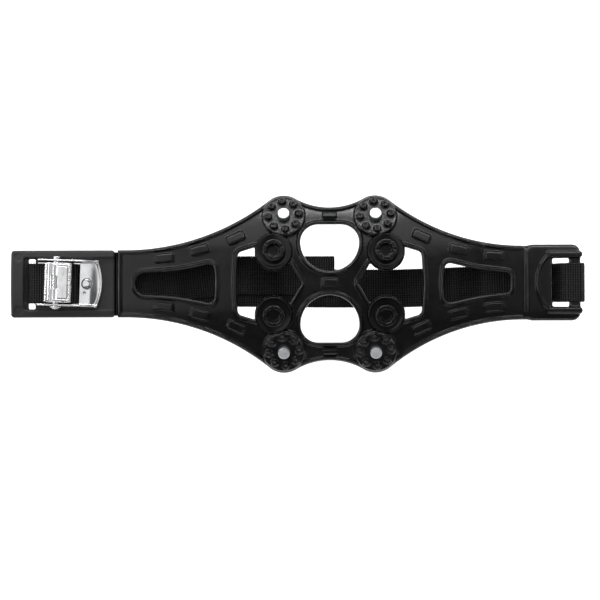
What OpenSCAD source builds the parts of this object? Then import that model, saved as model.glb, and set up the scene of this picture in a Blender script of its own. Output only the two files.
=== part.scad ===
// Slip-on ice cleat for the ball of a shoe, lying with its studs up.
// X runs along the length with the buckle at -X, Y runs across, Z points up.
// The rubber plate is arched about a line along X and rests on its four lobes.

/* [Rubber plate] */
// thickness of the rubber web
plate_t = 3; // [2.5:0.1:3.4]
// height of the raised beads above the web
bead_h = 1.2; // [0.8:0.1:1.4]
// width of the raised beads
bead_w = 2; // [1.6:0.1:2.2]
// height of the small bar lugs above the web
lug_h = 1.8; // [1.2:0.1:2.2]
// radius of the four outer lobes
lobe_r = 11.4; // [10.8:0.1:11.6]

/* [Studs] */
// diameter of the steel pin tips
pin_d = 6; // [5:0.1:6.6]
// how far a steel pin stands above its pad
pin_out = 3; // [2:0.1:4]
// height of the rubber nubs round a steel pin
nub_h = 2; // [1.2:0.1:2.4]
// diameter of the dished washers under the crown studs
washer_d = 18.5; // [17.5:0.1:18.8]
// height of the crown collar above its washer
crown_h = 4.2; // [2.2:0.1:4.6]

/* [Buckle] */
// sheet thickness of the buckle base
sheet_t = 1.2; // [1:0.1:1.2]
// height of the buckle side walls above the panel floor
wall_h = 8.2; // [7.9:0.1:9]
// diameter of the pin the cam lever turns on
cam_pin_d = 3.2; // [2.8:0.1:3.2]

/* [Webbing] */
// width of the webbing
web_w = 20; // [19:0.1:20.4]
// thickness of the webbing
web_t = 1.4; // [1.1:0.1:1.4]

/* [Hidden] */

$fn = 48;
eps = 0.01;

// arch of the plate
arch_r = 90;
lobe_x = 23.3;
lobe_y = 33.8;
hub_x = 16;
lobe_edge_y = lobe_y + lobe_r;
arch_z = -sqrt(pow(arch_r - plate_t, 2) - pow(lobe_edge_y, 2));
bead_r = arch_r + bead_h;
under_r = arch_r - plate_t;

// ends of the plate and the arcs of its outline
neck_x1 = -91.2;
neck_tan_x1 = -87;
neck_y1 = 17.1;
neck_x2 = 118;
neck_tan_x2 = 113;
neck_y2 = 18.8;
waist_r = 34;
waist_dy = sqrt(pow(waist_r + lobe_r, 2) - pow(lobe_x, 2));

// radius of a concave arm arc that is tangent to the neck line and to a lobe
function arm_r(dx, neck) =
  (dx * dx + pow(lobe_y - neck, 2) - pow(lobe_r, 2)) / (2 * (lobe_r + lobe_y - neck));
dx1 = hub_x - lobe_x - neck_tan_x1;
dx2 = neck_tan_x2 - hub_x - lobe_x;
arm_r1 = arm_r(dx1, neck_y1);
arm_r2 = arm_r(dx2, neck_y2);

// crown studs
crown_x = 28.3;
crown_y = 15.9;
washer_seat = 0.5;
washer_t = 1.6;
collar_d = 12;
crown_hole_d = 6.3;

// right end block
block_x1 = 114.5;
block_x2 = 142.5;
block_y = 19.3;
block_z = 10.2;
block_lift = 0.9;
slot_x1 = 128.3;
slot_x2 = 136.7;
slot_y = 12.2;
bar_z1 = 11.3;
bar_z2 = 14.6;
rail_y = 14.2;
rail_w = 2.6;
guard_r = 17.35;
guard_x = 138.55;

// buckle panel
panel_x1 = -144.8;
panel_x2 = -92.6;
panel_y = 17;
panel_z = 10.8;
floor_z = 13.8;
floor_y = 13.1;
floor_x1 = -138.1;
slit_in_y = 12.6;
slit_out_y = 10.9;
slit_in_x1 = -137;
slit_in_x2 = -132.7;
slit_out_x1 = -114.4;
slit_out_x2 = -109.2;
hinge_t = 1.2;

// buckle, which sits a little askew on its one rivet
buckle_turn = -1.8;
base_x1 = -131.6;
base_x2 = -98.6;
wall_y = 11.7;
wall_t = 1;
slot_a = -113.6;
slot_b = -110.3;
slot_side = 1.45;
rivet_x = -106.4;
rivet_r = 1.5;
cam_x = -121.5;
cam_z = 19.6;
lever_x1 = -127.1;
lever_x2 = -113.4;
lever_y = 9.9;
lever_top = 23.4;
lever_t = 1.2;
spring_y = 3.4;
spring_r = 2.1;
wire_r = 0.35;

// webbing route, as heights of its middle line
feed_low = 8;
feed_high = 9.7;
feed_top = floor_z + sheet_t + web_t / 2;
floor_low = web_t / 2;
floor_high = floor_low + 1.7;
bend_x1 = -96;
bend_x2 = -84;
lead = 1.5;
sewn_x = 127;
sewn_end = 104;
sewn_z = 6.9;
doubler_z = 8.6;
tail_end_x = 18.6;
// sideways lie of the run under the plate and of the tail, which straightens at its turn
main_sag = -2.6;
tail_slope = 0.092;
tail_turn_x = -34;
feed_slope = -0.0084;
feed_x1 = -136.2;
feed_x2 = -111.6;

// ---- outline helpers ----
function unit(v) = v / norm(v);
function side(v) = [-v[1], v[0]];

// points of a corner at b rounded by radius r
function corner(a, b, c, r, n) =
  let (u = unit(a - b), w = unit(c - b), half = acos(u * w) / 2)
  let (d = r / tan(half), mid = b + unit(u + w) * r / sin(half))
  let (s = b + u * d - mid, e = b + w * d - mid)
  let (turn = s[0] * e[1] - s[1] * e[0] > 0 ? 180 - 2 * half : 2 * half - 180)
  [for (i = [0 : n]) mid + [
    s[0] * cos(turn * i / n) - s[1] * sin(turn * i / n),
    s[0] * sin(turn * i / n) + s[1] * cos(turn * i / n)]];

// closed outline with each corner rounded by its own radius
function rounded(p, r, n = 5) =
  let (m = len(p))
  [for (i = [0 : m - 1])
    each corner(p[(i + m - 1) % m], p[i], p[(i + 1) % m], r[i], n)];

// closed anticlockwise outline moved outwards by d
function grown(p, d) =
  let (m = len(p))
  [for (i = [0 : m - 1])
    let (s = -side(unit(p[i] - p[(i + m - 1) % m])))
    let (t = -side(unit(p[(i + 1) % m] - p[i])))
    p[i] + d * (s + t) / (1 + s * t)];

// open route with its inner corners rounded
function bent(p, r, n = 6) =
  let (m = len(p))
  concat([p[0]],
    [for (i = [1 : m - 2]) each corner(p[i - 1], p[i], p[i + 1], r[i - 1], n)],
    [p[m - 1]]);

// one side of an open route, d away from it
function beside(p, d) =
  let (m = len(p))
  [for (i = [0 : m - 1])
    let (s = side(unit(p[max(i, 1)] - p[max(i, 1) - 1])))
    let (t = side(unit(p[min(i, m - 2) + 1] - p[min(i, m - 2)])))
    p[i] + d * (s + t) / (1 + s * t)];

function backwards(p) = [for (i = [len(p) - 1 : -1 : 0]) p[i]];

// route that eases from height z1 to z2 between x1 and x2
function eased(x1, z1, x2, z2, n = 8) =
  [for (i = [0 : n])
    let (k = i / n)
    [x1 + (x2 - x1) * k, z1 + (z2 - z1) * k * k * (3 - 2 * k)]];

// ribbon of webbing along a route in the XZ plane
module ribbon(p, w = web_w) {
  outline = concat(beside(p, web_t / 2), backwards(beside(p, -web_t / 2)));
  translate([0, w / 2, 0])
    rotate([90, 0, 0])
      linear_extrude(w)
        polygon(outline);
}

// leans a stretch sideways about x0, so that its cut ends stay square to X
module leaning(slope, x0) {
  multmatrix([[1, 0, 0, 0], [slope, 1, 0, -slope * x0], [0, 0, 1, 0], [0, 0, 0, 1]])
    children();
}

// ---- plate outline ----
module mirrored_y() {
  children();
  mirror([0, 1, 0])
    children();
}

// points of an arc from angle a1 to angle a2
function arc(c, r, a1, a2, n) =
  [for (i = [0 : n]) c + r * [cos(a1 + (a2 - a1) * i / n), sin(a1 + (a2 - a1) * i / n)]];

// upper edge of the plate from the left neck to the right one, moved inwards by d
function upper_edge(d) =
  let (x1 = hub_x - lobe_x, x2 = hub_x + lobe_x)
  let (a1 = atan2(lobe_y - neck_y1 - arm_r1, dx1))
  let (a2 = atan2(lobe_y - neck_y2 - arm_r2, -dx2))
  let (v = atan2(waist_dy, lobe_x))
  concat(
    [[neck_x1 + d, neck_y1 - d]],
    arc([neck_tan_x1, neck_y1 + arm_r1], arm_r1 + d, -90, a1, 10),
    arc([x1, lobe_y], lobe_r - d, a1 + 180, v, 8),
    arc([hub_x, lobe_y + waist_dy], waist_r + d, v - 180, -v, 10),
    arc([x2, lobe_y], lobe_r - d, 180 - v, a2 + 180, 8),
    arc([neck_tan_x2, neck_y2 + arm_r2], arm_r2 + d, a2, -90, 10),
    [[neck_x2, neck_y2 - d]]);

module plate_outline(d = 0) {
  top = upper_edge(d);
  // the ends of neighbouring arcs coincide, so each repeated point is dropped
  kept = [for (i = [0 : len(top) - 1])
    if (i == 0 || norm(top[i] - top[i - 1]) > 0.02) top[i]];
  polygon(concat(kept, [for (p = backwards(kept)) [p[0], -p[1]]]));
}

// openings in the plate: outline points and corner radii
hub_w = 14.8;
hub_y1 = 6.1;
hub_y2 = 29.9;
upper_hub = [
  [hub_x - hub_w, hub_y1], [hub_x + hub_w, hub_y1],
  [hub_x + hub_w, hub_y2], [hub_x - hub_w, hub_y2]];
hub_r = [14.75, 14.75, 9, 9];
left_tri = [
  [-81.8, -5.2], [-62, -6.1], [-42.9, -10.2], [-42, 0],
  [-42.9, 10.2], [-62, 6.1], [-81.8, 5.2]];
left_tri_r = [4.9, 100, 2.6, 40, 2.6, 100, 4.9];
right_tri = [
  [106.6, -4.8], [106.6, 4.8], [91, 6.6], [74.4, 10.5],
  [73.2, 0], [74.4, -10.5], [91, -6.6]];
right_tri_r = [2, 2, 100, 2.6, 40, 2.6, 100];
left_gap = [
  [-31.2, 0], [-30.4, -15.6], [-20, -18.8], [-4.4, -10],
  [1.6, 0], [-4.4, 10], [-20, 18.8], [-30.4, 15.6]];
left_gap_r = [60, 2.6, 4, 3, 2, 3, 4, 2.6];
right_gap = [
  [63, 0], [62.2, 15.6], [52, 18.8], [36.4, 10],
  [30.4, 0], [36.4, -10], [52, -18.8], [62.2, -15.6]];
right_gap_r = [60, 2.6, 4, 3, 2, 3, 4, 2.6];

module opening(p, r, d = 0, n = 5) {
  polygon(rounded(grown(p, d), [for (v = r) v + d], n));
}

module washer_lands(r) {
  for (s = [-1, 1], t = [-1, 1])
    translate([hub_x + s * crown_x, t * crown_y])
      circle(r);
}

module gaps(d) {
  difference() {
    union() {
      opening(left_gap, left_gap_r, d);
      opening(right_gap, right_gap_r, d);
    }
    washer_lands(washer_d / 2 + 0.5 - d);
  }
}

module openings(d = 0) {
  mirrored_y()
    opening(upper_hub, hub_r, d, 8);
  opening(left_tri, left_tri_r, d);
  opening(right_tri, right_tri_r, d);
  gaps(d);
}

// the lower fields between the beads
module fields() {
  difference() {
    plate_outline(bead_w);
    openings(bead_w * 0.9);
    translate([block_x1 - 2, -block_y])
      square([20, 2 * block_y]);
  }
}

module bar(x, y, a, l, w) {
  translate([x, y])
    rotate(a)
      polygon(rounded([[-l / 2, -w / 2], [l / 2, -w / 2], [l / 2, w / 2], [-l / 2, w / 2]],
        [1, 1, 1, 1]));
}

lug_l = 9.4;
lug_w = 4.7;
module lugs() {
  mirrored_y() {
    bar(-67.5, 12.4, 5, lug_l, lug_w);
    bar(-49.8, 16.4, 15, lug_l, lug_w);
    bar(-31.4, 22.6, 25, lug_l, lug_w);
    bar(62.4, 23.2, -25, lug_l, lug_w);
    bar(81, 16.2, -14, lug_l, lug_w);
    bar(98.8, 12.9, -5, lug_l, lug_w);
    bar(hub_x, 34.8, 0, 7.4, 3);
  }
  bar(hub_x, 0, 0, 8, lug_w);
}

// part of a solid that lies between two radii of the arch
module arched(r1, r2, z1 = -5, z2 = 30) {
  intersection() {
    translate([0, 0, z1])
      linear_extrude(z2 - z1)
        children();
    translate([-200, 0, arch_z])
      rotate([0, 90, 0])
        difference() {
          cylinder(h = 400, r = r2, $fn = 200);
          translate([0, 0, -1])
            cylinder(h = 402, r = r1, $fn = 200);
        }
  }
}

// puts a part on the arch at plan position x, y, with +Z along the arch's normal
module on_arch(x, y) {
  translate([x, 0, arch_z])
    rotate([-asin(y / arch_r), 0, 0])
      children();
}

function sign_x(i) = i % 2 == 1 ? -1 : 1;
function sign_y(i) = i > 2 ? -1 : 1;
module at_pad(i) {
  on_arch(hub_x + sign_x(i) * lobe_x, sign_y(i) * lobe_y)
    children();
}
module at_crown(i) {
  on_arch(hub_x + sign_x(i) * crown_x, sign_y(i) * crown_y)
    children();
}

pad_top = arch_r + 1.6;
pad_flange_r = 5.5;
pad_flange_t = 1.2;
nub_ring = 7.85;
nub_d = 4;
crown_flange_r = 6;
crown_shank_r = 3.4;
flange_depth = 1.4;

module pads() {
  for (i = [1 : 4])
    intersection() {
      linear_extrude(60, center = true)
        translate([hub_x + sign_x(i) * lobe_x, sign_y(i) * lobe_y])
          circle(lobe_r - 0.4);
      at_pad(i)
        translate([0, 0, under_r + 1])
          cylinder(h = pad_top - under_r - 1, r = 16);
    }
}

module nubs() {
  for (i = [1 : 4], k = [0 : 7])
    at_pad(i)
      rotate(45 * k + 6)
        translate([nub_ring, 0, pad_top - 0.4])
          cylinder(h = nub_h + 0.4, r1 = nub_d / 2, r2 = nub_d * 0.37, $fn = 20);
}

module end_block() {
  // slab with a flat underside and an arched top
  intersection() {
    difference() {
      translate([0, 0, block_z])
        linear_extrude(12)
          polygon(rounded(
            [[block_x1, -block_y], [block_x2, -block_y],
              [block_x2, block_y], [block_x1, block_y]], [1.6, 4.5, 4.5, 1.6]));
      translate([slot_x1, -slot_y, 0])
        cube([slot_x2 - slot_x1, 2 * slot_y, 30]);
      translate([slot_x2 - eps, -slot_y, bar_z2])
        cube([20, 2 * slot_y, 10]);
      translate([slot_x2 - eps, -slot_y, 0])
        cube([20, 2 * slot_y, bar_z1]);
    }
    translate([100, 0, arch_z])
      rotate([0, 90, 0])
        cylinder(h = 60, r = arch_r + block_lift, $fn = 200);
  }
}

module guard_pocket() {
  intersection() {
    translate([guard_x, 0])
      circle(guard_r, $fn = 96);
    translate([block_x1, -14])
      square([slot_x1 - block_x1, 28]);
  }
}

module guard_ridge() {
  difference() {
    intersection() {
      translate([guard_x, 0])
        circle(guard_r + 1.5, $fn = 96);
      translate([block_x1, -15.4])
        square([slot_x1 - block_x1 - 0.6, 30.8]);
    }
    translate([guard_x, 0])
      circle(guard_r, $fn = 96);
  }
  mirrored_y()
    translate([slot_x1 - 2, rail_y - rail_w / 2])
      square([block_x2 + 0.8 - slot_x1 + 2, rail_w]);
}

module sole_plate() color("#1b1b1c") {
  difference() {
    union() {
      difference() {
        arched(under_r, bead_r)
          difference() {
            plate_outline();
            openings();
          }
        arched(arch_r, arch_r + 6)
          fields();
      }
      arched(arch_r - 1, arch_r + lug_h)
        lugs();
      pads();
      nubs();
      end_block();
      arched(arch_r - 1, arch_r + 2.2)
        guard_ridge();
    }
    arched(arch_r - 0.4, arch_r + 2)
      guard_pocket();
    for (i = [1 : 4]) {
      at_pad(i) {
        translate([0, 0, under_r - 2])
          cylinder(h = 12, r = pin_d / 2);
        translate([0, 0, under_r - 5])
          cylinder(h = 5 + flange_depth, r = pad_flange_r);
      }
      at_crown(i) {
        translate([0, 0, arch_r - washer_seat])
          cylinder(h = 8, r = washer_d / 2 + 0.1);
        translate([0, 0, under_r - 2])
          cylinder(h = 12, r = crown_shank_r);
        translate([0, 0, under_r - 5])
          cylinder(h = 5 + flange_depth - 0.4, r = crown_flange_r);
      }
    }
  }
}

module hinge_web() color("#1b1b1c")
  translate([panel_x2, -panel_y + 1, panel_z])
    cube([neck_x1 - panel_x2, 2 * panel_y - 2, hinge_t]);

module buckle_panel() color("#2a2a2c") {
  difference() {
    intersection() {
      translate([0, 0, panel_z])
        linear_extrude(10)
          polygon(rounded(
            [[panel_x1, -panel_y], [panel_x2, -panel_y],
              [panel_x2, panel_y], [panel_x1, panel_y]], [1.8, 0.8, 0.8, 1.8]));
      translate([-160, 0, arch_z])
        rotate([0, 90, 0])
          cylinder(h = 80, r = bead_r, $fn = 200);
    }
    translate([floor_x1, -floor_y, floor_z])
      cube([60, 2 * floor_y, 10]);
    // slits that the webbing comes up and goes back down through
    translate([slit_in_x1, -slit_in_y, 0])
      cube([slit_in_x2 - slit_in_x1, 2 * slit_in_y, 30]);
    translate([slit_out_x1, -slit_out_y, 0])
      cube([slit_out_x2 - slit_out_x1, 2 * slit_out_y, 30]);
    translate([rivet_x, 0, 0]) {
      cylinder(h = 30, r = rivet_r);
      cylinder(h = panel_z + 0.9, r = 3.5);
    }
  }
}

module steel_stud(i) color("#c9cbce")
  at_pad(i) {
    translate([0, 0, under_r + flange_depth - pad_flange_t])
      cylinder(h = pad_flange_t, r = pad_flange_r);
    translate([0, 0, under_r + flange_depth - eps])
      cylinder(h = pad_top + pin_out - 0.4 - under_r - flange_depth, r = pin_d / 2);
    translate([0, 0, pad_top + pin_out - 0.4 - eps])
      cylinder(h = 0.4, r1 = pin_d / 2, r2 = pin_d / 2 - 0.4);
  }
module steel_stud_1() { steel_stud(1); }
module steel_stud_2() { steel_stud(2); }
module steel_stud_3() { steel_stud(3); }
module steel_stud_4() { steel_stud(4); }

washer_r = washer_d / 2;
seat_z = arch_r - washer_seat;
module crown_washer(i) color("#202022")
  at_crown(i)
    rotate_extrude()
      polygon([
        [crown_shank_r, seat_z], [washer_r - 0.8, seat_z], [washer_r, seat_z + 0.8],
        [washer_r, seat_z + 1.9], [washer_r - 0.6, seat_z + 2.5],
        [washer_r - 1.6, seat_z + 2.4], [washer_r - 2.4, seat_z + washer_t],
        [crown_shank_r, seat_z + washer_t]]);
module crown_washer_1() { crown_washer(1); }
module crown_washer_2() { crown_washer(2); }
module crown_washer_3() { crown_washer(3); }
module crown_washer_4() { crown_washer(4); }

collar_r = collar_d / 2;
collar_z = seat_z + washer_t;
module crown_stud(i) color("#26262a")
  at_crown(i)
    difference() {
      union() {
        translate([0, 0, under_r + 0.1])
          cylinder(h = 0.9, r = crown_flange_r);
        translate([0, 0, under_r + 0.9])
          cylinder(h = collar_z - under_r, r = crown_shank_r);
        translate([0, 0, collar_z])
          cylinder(h = crown_h - 0.6, r = collar_r);
        translate([0, 0, collar_z + crown_h - 0.6 - eps])
          cylinder(h = 0.6, r1 = collar_r, r2 = collar_r - 0.7);
      }
      translate([0, 0, collar_z + crown_h - 2])
        cylinder(h = 6, r = crown_hole_d / 2);
      for (k = [0 : 5])
        rotate(60 * k)
          translate([0, -0.6, collar_z + crown_h - 0.9])
            cube([10, 1.2, 3]);
    }
module crown_stud_1() { crown_stud(1); }
module crown_stud_2() { crown_stud(2); }
module crown_stud_3() { crown_stud(3); }
module crown_stud_4() { crown_stud(4); }

// turns the buckle about its rivet
module askew() {
  translate([rivet_x, 0, 0])
    rotate(buckle_turn)
      translate([-rivet_x, 0, 0])
        children();
}

module base_plan() {
  translate([base_x1, -wall_y])
    square([slot_a - base_x1, 2 * wall_y]);
  intersection() {
    translate([slot_b, -wall_y])
      square([20, 2 * wall_y]);
    translate([base_x2 - 26, 0])
      circle(26, $fn = 128);
  }
  mirrored_y()
    translate([slot_a - 1, wall_y - slot_side])
      square([slot_b - slot_a + 2, slot_side]);
}

module buckle_base() color("#d2d3d6") askew() {
  wall_top = floor_z + wall_h;
  difference() {
    union() {
      translate([0, 0, floor_z])
        linear_extrude(sheet_t)
          base_plan();
      mirrored_y()
        translate([0, wall_y, 0])
          rotate([90, 0, 0])
            linear_extrude(wall_t)
              polygon(rounded(
                [[base_x1, floor_z], [-101.9, floor_z], [-101.9, wall_top - 5.4],
                  [-109.4, wall_top], [base_x1, wall_top]], [0.3, 0.3, 1.2, 4, 2.4]));
      // rolled lip round the nose
      translate([0, 0, floor_z])
        linear_extrude(2.6)
          difference() {
            intersection() {
              translate([base_x2 - 26, 0])
                circle(26, $fn = 128);
              translate([-103.7, -wall_y])
                square([10, 2 * wall_y]);
            }
            translate([base_x2 - 26 - wall_t, 0])
              circle(26, $fn = 128);
          }
    }
    translate([cam_x, 20, cam_z])
      rotate([90, 0, 0])
        cylinder(h = 40, r = cam_pin_d / 2);
    translate([rivet_x, 0, 0])
      cylinder(h = 30, r = rivet_r);
  }
}

module cam_profile() {
  // thumb plate, cam round the pin, and the toothed jaw on its far side
  translate([lever_x1, lever_top - lever_t])
    square([lever_x2 - lever_x1, lever_t]);
  translate([cam_x, cam_z])
    circle(2.7, $fn = 40);
  polygon([
    [cam_x - 2.4, lever_top - lever_t + eps], [cam_x - 2.4, cam_z], [cam_x, cam_z - 2.7],
    [cam_x + 1, cam_z - 2.3], [cam_x + 1.5, cam_z - 2.9], [cam_x + 2, cam_z - 2.2],
    [cam_x + 2.5, cam_z - 2.85], [cam_x + 3, cam_z - 2], [cam_x + 3.5, cam_z - 2.7],
    [cam_x + 4, cam_z - 1.8], [cam_x + 4.8, lever_top - lever_t + eps]]);
}

module cam_lever() color("#dcdde0") askew() {
  difference() {
    translate([0, lever_y, 0])
      rotate([90, 0, 0])
        linear_extrude(2 * lever_y)
          cam_profile();
    // room for the pin and the spring
    translate([cam_x, 20, cam_z])
      rotate([90, 0, 0])
        cylinder(h = 40, r = cam_pin_d / 2 + 0.1);
    translate([cam_x - 4, -spring_y, 0])
      cube([10, 2 * spring_y, lever_top - lever_t]);
    // thumb serrations along the free edge
    for (k = [-7 : 7])
      translate([lever_x1, k * 1.25, 0])
        cylinder(h = 30, r = 0.35, $fn = 16);
  }
  // raised border on the thumb plate
  translate([0, 0, lever_top - eps])
    linear_extrude(0.4)
      difference() {
        polygon(rounded(
          [[-122.9, -9], [-114.1, -9], [-114.1, 9], [-122.9, 9]], [0.8, 0.8, 0.8, 0.8], 3));
        polygon(rounded(
          [[-121.9, -8], [-115.1, -8], [-115.1, 8], [-121.9, 8]], [0.5, 0.5, 0.5, 0.5], 3));
      }
}

module cam_pin() color("#b9babd") askew()
  translate([cam_x, 13.2, cam_z])
    rotate([90, 0, 0])
      cylinder(h = 26.4, r = cam_pin_d / 2);

module pin_clip() color("#a8a9ac") askew()
  translate([cam_x, -wall_y - 0.1, cam_z])
    rotate([90, 0, 0])
      difference() {
        cylinder(h = 0.8, r = 2.8);
        translate([0, 0, -1])
          cylinder(h = 3, r = cam_pin_d / 2);
        translate([-0.8, -4, -1])
          cube([1.6, 4, 3]);
      }

module cam_spring() color("#8f9094") askew() {
  for (k = [-3 : 3])
    translate([cam_x, 0.6 * k, cam_z])
      rotate([90, 0, 0])
        rotate_extrude()
          translate([spring_r, 0])
            circle(wire_r, $fn = 24);
}

module base_rivet() color("#d8d9dc")
  translate([rivet_x, 0, 0]) {
    translate([0, 0, panel_z + 0.1])
      cylinder(h = floor_z + sheet_t - panel_z, r = rivet_r);
    translate([0, 0, floor_z + sheet_t])
      intersection() {
        cylinder(h = 1.3, r = 3);
        translate([0, 0, -3.4])
          sphere(4.7);
      }
  }

module rivet_washer() color("#9fa0a3")
  translate([rivet_x, 0, panel_z + 0.2])
    difference() {
      cylinder(h = 0.7, r = 3.4);
      translate([0, 0, -1])
        cylinder(h = 3, r = rivet_r);
    }

// ---- webbing ----
module strap_loop() color("#141415")
  ribbon(bent([
    [sewn_x, sewn_z], [132, sewn_z], [138.5, 10.4], [144.1, 10.4], [144.1, 15.6],
    [135.2, 15.6], [129.6, doubler_z], [sewn_end, doubler_z]],
    [3, 3, 2.2, 2.2, 1.6, 3]));

module strap_main() color("#141415") {
  leaning(-main_sag / (sewn_x - hub_x), sewn_x)
    ribbon(concat([[hub_x, floor_low]], eased(68, floor_low, sewn_end, sewn_z),
      [[sewn_x, sewn_z]]));
  leaning(main_sag / (hub_x - bend_x2), bend_x2)
    ribbon(concat([[bend_x2, feed_low]], eased(bend_x2 + lead, feed_low, -48, floor_low),
      [[hub_x + 2, floor_low]]));
}

module strap_bend_lower() color("#141415")
  ribbon([[bend_x1, feed_low], [bend_x2, feed_low]]);

module strap_feed() color("#141415")
  leaning(feed_slope, bend_x1)
    ribbon(bent([
      [bend_x1, feed_low], [feed_x1, feed_low], [feed_x1, feed_top],
      [feed_x2, feed_top], [feed_x2, feed_high], [bend_x1, feed_high]],
      [3.8, 3.8, 1.6, 1.6]));

module strap_bend_upper() color("#141415")
  ribbon([[bend_x1, feed_high], [bend_x2, feed_high]]);

module strap_tail() color("#141415") {
  leaning(tail_slope, bend_x2)
    ribbon(concat([[bend_x2, feed_high]], eased(bend_x2 + lead, feed_high, -48, floor_high),
      [[tail_turn_x, floor_high]]));
  translate([0, tail_slope * (tail_turn_x - bend_x2), 0])
    ribbon([[tail_turn_x - 1, floor_high], [tail_end_x, floor_high]]);
}

module stitching() color("#2c2c2e") {
  top_z = doubler_z + web_t / 2;
  for (y = [-7.5, 7.5])
    translate([107, y - 0.3, top_z])
      cube([16, 0.6, 0.5]);
  for (x = [107, 122.4])
    translate([x, -7.2, top_z])
      cube([0.6, 14.4, 0.5]);
  for (s = [-1, 1])
    translate([115, 0, top_z])
      rotate(s * 43)
        translate([-10.4, -0.3, 0])
          cube([20.8, 0.6, 0.5]);
}

sole_plate();
hinge_web();
buckle_panel();
steel_stud_1();
steel_stud_2();
steel_stud_3();
steel_stud_4();
crown_washer_1();
crown_washer_2();
crown_washer_3();
crown_washer_4();
crown_stud_1();
crown_stud_2();
crown_stud_3();
crown_stud_4();
buckle_base();
cam_lever();
cam_pin();
pin_clip();
cam_spring();
base_rivet();
rivet_washer();
strap_loop();
strap_main();
strap_bend_lower();
strap_feed();
strap_bend_upper();
strap_tail();
stitching();
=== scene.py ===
import math
import bpy
import numpy as np
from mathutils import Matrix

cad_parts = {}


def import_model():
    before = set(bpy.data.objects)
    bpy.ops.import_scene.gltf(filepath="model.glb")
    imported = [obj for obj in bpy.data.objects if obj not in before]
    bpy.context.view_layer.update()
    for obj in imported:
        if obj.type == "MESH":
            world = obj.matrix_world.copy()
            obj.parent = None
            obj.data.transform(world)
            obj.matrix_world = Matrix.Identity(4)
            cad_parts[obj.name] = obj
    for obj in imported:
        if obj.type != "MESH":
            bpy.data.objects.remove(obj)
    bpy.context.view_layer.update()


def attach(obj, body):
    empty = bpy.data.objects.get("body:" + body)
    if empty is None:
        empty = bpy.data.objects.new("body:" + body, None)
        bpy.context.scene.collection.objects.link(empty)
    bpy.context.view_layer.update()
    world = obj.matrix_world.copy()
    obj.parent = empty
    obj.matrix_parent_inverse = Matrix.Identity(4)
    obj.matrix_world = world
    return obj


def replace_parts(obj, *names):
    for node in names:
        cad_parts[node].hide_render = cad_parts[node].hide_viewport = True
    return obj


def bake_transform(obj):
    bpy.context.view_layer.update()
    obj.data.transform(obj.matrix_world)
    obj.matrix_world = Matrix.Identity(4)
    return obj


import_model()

import openvdb as vdb
from mathutils import Matrix, Vector

# Shape functions work in mm and return signed distances, negative inside.

# ------------------------------------------------------------------ sizes
PLATE_T, BEAD_H, LUG_H = 3.0, 1.2, 1.8
LUG_L, LUG_W, LUG_SHIFT = 9.4, 4.7, 0.5
ARCH_R = 90.0
UNDER_R = ARCH_R - PLATE_T
FOOT_Y = 45.2
ARCH_Z = -math.sqrt(UNDER_R ** 2 - FOOT_Y ** 2)
HUB_X, LOBE_X, LOBE_Y, LOBE_R = 16.0, 23.3, 33.8, 11.6
NECK1, TAN1, NECK_Y1 = -91.2, -87.0, 17.1
NECK2, TAN2, NECK_Y2 = 118.0, 113.0, 18.8
WAIST_R = 34.0
WAIST_DY = math.sqrt((WAIST_R + LOBE_R) ** 2 - LOBE_X ** 2)
CROWN_X, CROWN_Y = 28.3, 15.9
PAD_TOP = ARCH_R + 1.6
NUB_RING, NUB_H = 7.85, 2.0
SEAT = ARCH_R - 0.5
SEAT_R, LAND_R = 9.26, 9.75

BLOCK_X1, BLOCK_X2, BLOCK_Y, BLOCK_Z, BLOCK_LIFT = 114.5, 142.5, 19.3, 10.2, 0.9
SLOT_X1, SLOT_Y = 128.3, 12.2
GUARD_X, GUARD_R = 138.55, 17.35
BAR_X, BAR_Z = 139.7, 12.95

PANEL_X1, PANEL_X2, PANEL_Y, PANEL_Z = -144.8, -92.6, 17.0, 10.8
FLOOR_X1, FLOOR_Y, FLOOR_Z = -138.1, 13.1, 13.8
SLIT_IN, SLIT_OUT = (-136.1, -132.7), (-114.4, -109.2)

BASE_X1, WALL_Y, WALL_T, WALL_H, SHEET = -131.6, 11.7, 1.0, 8.2, 1.2
NOSE_R, NOSE_X = 26.0, -124.6
BASE_SLOT = (-113.6, -110.3)
RIVET_X, CAM_X, CAM_Z = -106.4, -121.5, 19.6
LEVER_X1, LEVER_X2, LEVER_Y, LEVER_TOP, LEVER_T = -127.1, -113.4, 9.9, 23.4, 1.2
TOOTH = 1.25

WEB_W, WEB_T = 20.0, 1.4
PITCH, COL = 1.22, 1.25
FEED_LOW, FEED_HIGH = 8.0, 9.7
FEED_TOP = FLOOR_Z + SHEET + WEB_T / 2
LOW, HIGH = WEB_T / 2, WEB_T / 2 + 1.7
SEWN_X, SEWN_Z, DOUBLER_Z = 127.0, 6.9, 8.6
FEED_SLOPE, FEED_X1, FEED_X2 = -0.0084, -136.2, -111.6
BEND_X1, BEND_X2 = -96, -84


# ------------------------------------------------------------------ outlines
def unit(v):
    return v / np.linalg.norm(v)


def half_angle(a, b, c):
    return math.acos(np.clip(unit(a - b) @ unit(c - b), -1, 1)) / 2


def corner(a, b, c, r, n):
    """Points of the corner at b, rounded by radius r."""
    u, w, half = unit(a - b), unit(c - b), half_angle(a, b, c)
    d, mid = r / math.tan(half), b + unit(u + w) * r / math.sin(half)
    s, e = b + u * d - mid, b + w * d - mid
    start, turn = math.atan2(s[1], s[0]), math.pi - 2 * half
    if s[0] * e[1] < s[1] * e[0]:
        turn = -turn
    t = start + turn * np.arange(n + 1) / n
    return mid + r * np.stack([np.cos(t), np.sin(t)], 1)


def rounded(points, radii, n=8):
    """Closed outline with each corner rounded by its own radius."""
    p = np.array(points, float)
    m = len(p)
    return np.concatenate([corner(p[i - 1], p[i], p[(i + 1) % m], radii[i], n) for i in range(m)])


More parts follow.
